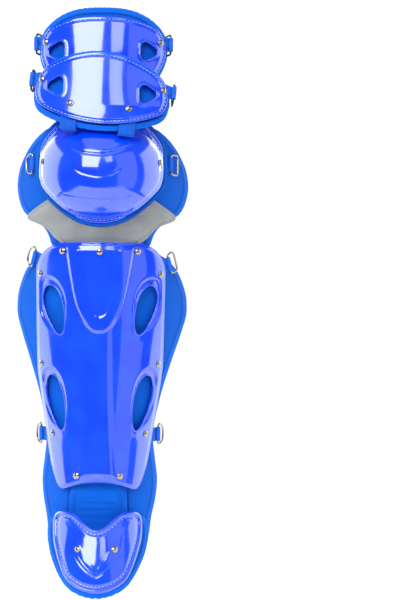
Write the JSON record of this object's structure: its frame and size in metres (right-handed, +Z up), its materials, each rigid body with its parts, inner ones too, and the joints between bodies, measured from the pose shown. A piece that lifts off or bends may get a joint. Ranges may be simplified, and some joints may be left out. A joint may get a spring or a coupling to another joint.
{
  "type": "catcher leg guard",
  "caption": "Catcher's leg guard: glossy shells over padded cloth, with a domed knee cap, thigh flaps, shin and foot guards.",
  "frame": {"origin": "on the leg side of the shin pad, at its middle", "axes": "+Z up the leg, -Y out through the guard's front, +X to the right seen from the front"},
  "size_m": [0.1952, 0.137, 0.6653],
  "materials": {
    "shell": "gloss",
    "cloth": "matte",
    "webbing": "matte",
    "gusset": "satin",
    "cushion": "matte",
    "gel": "gloss",
    "metal": "satin"
  },
  "bodies": {
    "root": {"shin_wing_left": "cloth", "shin_wing_right": "cloth", "shin_shell": "shell", "shin_pad": "cushion", "knee_pad": "cloth", "knee_gusset": "gusset", "knee_trim": "cloth", "knee_shell": "shell", "knee_cushion": "cushion", "gel_window": "gel", "top_flap_pad": "cloth", "top_flap_shell": "shell", "second_flap_pad": "cloth", "second_flap_shell": "shell", "foot_pad": "cloth", "foot_shell": "shell", "ankle_tongue": "cloth", "hinge_strap_left": "webbing", "hinge_strap_right": "webbing", "knee_left_tab": "webbing", "knee_left_ring": "metal", "knee_right_tab": "webbing", "knee_right_ring": "metal", "shin_upper_left_tab": "webbing", "shin_upper_left_ring": "metal", "shin_upper_right_tab": "webbing", "shin_upper_right_ring": "metal", "shin_lower_left_tab": "webbing", "shin_lower_left_ring": "metal", "shin_lower_right_tab": "webbing", "shin_lower_right_ring": "metal", "top_flap_left_tab": "webbing", "top_flap_left_ring": "metal", "top_flap_right_tab": "webbing", "top_flap_right_ring": "metal", "second_flap_left_tab": "webbing", "second_flap_left_ring": "metal", "second_flap_right_tab": "webbing", "second_flap_right_ring": "metal", "rivet_shin_top_left": "metal", "rivet_shin_top_right": "metal", "rivet_shin_upper_side_left": "metal", "rivet_shin_upper_side_right": "metal", "rivet_shin_middle_side_left": "metal", "rivet_shin_middle_side_right": "metal", "rivet_shin_lower_side_left": "metal", "rivet_shin_lower_side_right": "metal", "rivet_shin_base_left": "metal", "rivet_shin_base_right": "metal", "rivet_knee_left": "metal", "rivet_knee_right": "metal", "rivet_top_flap_left": "metal", "rivet_top_flap_right": "metal", "rivet_second_flap_left": "metal", "rivet_second_flap_right": "metal", "rivet_hinge_left": "metal", "rivet_hinge_right": "metal", "rivet_foot_left": "metal", "rivet_foot_right": "metal", "rivet_shin_top_centre": "metal"}
  },
  "joints": []
}
